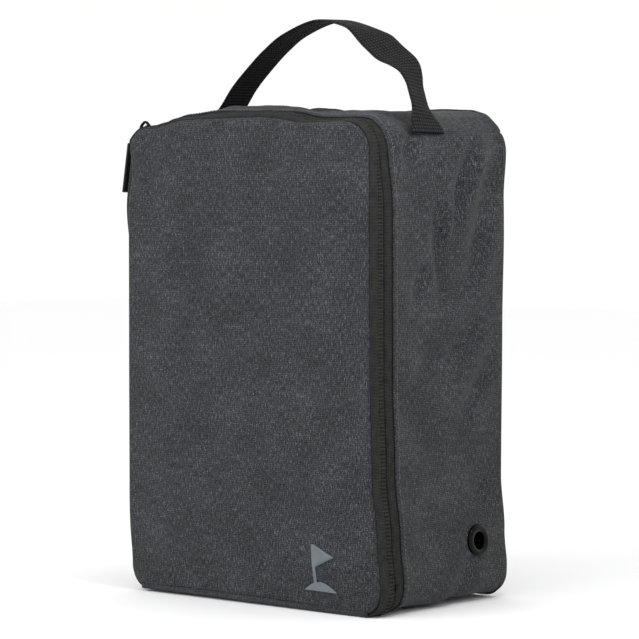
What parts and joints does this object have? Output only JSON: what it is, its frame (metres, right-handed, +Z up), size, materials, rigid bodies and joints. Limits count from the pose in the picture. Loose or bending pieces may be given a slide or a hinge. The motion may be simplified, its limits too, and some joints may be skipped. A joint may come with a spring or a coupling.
{
  "type": "golf shoe bag",
  "caption": "Soft upright shoe bag with a padded front flap, a zip round three sides, side vents and a webbing carry handle.",
  "frame": {"origin": "centre of the base's underside, on the surface the bag stands on", "axes": "+Z up the bag, -Y out of the zipped front, +X to the right seen from the front"},
  "size_m": [0.26, 0.1507, 0.4308],
  "materials": {
    "heather_fabric": "matte",
    "lining_fabric": "satin",
    "foam": "matte",
    "base_board": "matte",
    "binding_tape": "matte",
    "zip_tape": "matte",
    "zip_coil": "satin",
    "handle_webbing": "matte",
    "black_metal": "gloss",
    "pull_tab": "satin",
    "emblem_print": "matte"
  },
  "bodies": {
    "case": {"back_panel": "heather_fabric", "back_foam": "foam", "back_lining": "lining_fabric", "top_panel": "heather_fabric", "top_lining": "lining_fabric", "left_side_panel": "heather_fabric", "left_side_lining": "lining_fabric", "right_side_panel": "heather_fabric", "right_side_lining": "lining_fabric", "base_panel": "heather_fabric", "base_board": "base_board", "base_lining": "lining_fabric", "back_seam_binding": "binding_tape", "zip_tape_rear": "zip_tape", "zip_coil_rear": "zip_coil", "zip_stop_left": "black_metal", "zip_stop_right": "black_metal", "vent_eyelet_left": "black_metal", "vent_eyelet_right": "black_metal", "vent_washer_left": "black_metal", "vent_washer_right": "black_metal", "handle_root_left": "handle_webbing", "handle_root_right": "handle_webbing"},
    "flap": {"front_panel": "heather_fabric", "front_foam": "foam", "front_lining": "lining_fabric", "front_seam_binding": "binding_tape", "zip_tape_front": "zip_tape", "zip_coil_front": "zip_coil", "emblem": "emblem_print"},
    "upper_slider": {"upper_slider": "black_metal"},
    "upper_pull": {"upper_pull_link": "black_metal", "upper_pull_tab": "pull_tab"},
    "lower_slider": {"lower_slider": "black_metal"},
    "lower_pull": {"lower_pull_link": "black_metal", "lower_pull_tab": "pull_tab"},
    "handle": {"handle_webbing": "handle_webbing"}
  },
  "joints": [
    {"name": "flap_hinge", "type": "hinge", "parent": "case", "child": "flap", "pos_m": [0, -0.075, 0.001], "axis": [1, 0, 0], "range_deg": [0, 90]},
    {"name": "upper_slider_round_corner", "type": "hinge", "parent": "case", "child": "upper_slider", "pos_m": [-0.096, -0.061, 0.331], "axis": [0, 1, 0], "range_deg": [0, 42]},
    {"name": "upper_pull_swing", "type": "hinge", "parent": "upper_slider", "child": "upper_pull", "pos_m": [-0.11594, -0.061, 0.35046], "axis": [0, 1, 0], "range_deg": [0, 120]},
    {"name": "lower_slider_run", "type": "slide", "parent": "case", "child": "lower_slider", "axis": [0, 0, -1], "range_m": [0, 0.222]},
    {"name": "lower_pull_swing", "type": "hinge", "parent": "lower_slider", "child": "lower_pull", "pos_m": [-0.1238, -0.061, 0.2832], "axis": [0, 1, 0], "range_deg": [0, 130]},
    {"name": "handle_swing", "type": "hinge", "parent": "case", "child": "handle", "pos_m": [0, -0.01, 0.356], "axis": [1, 0, 0], "range_deg": [-50, 50], "deforming": ["handle_root_left", "handle_root_right"]}
  ]
}
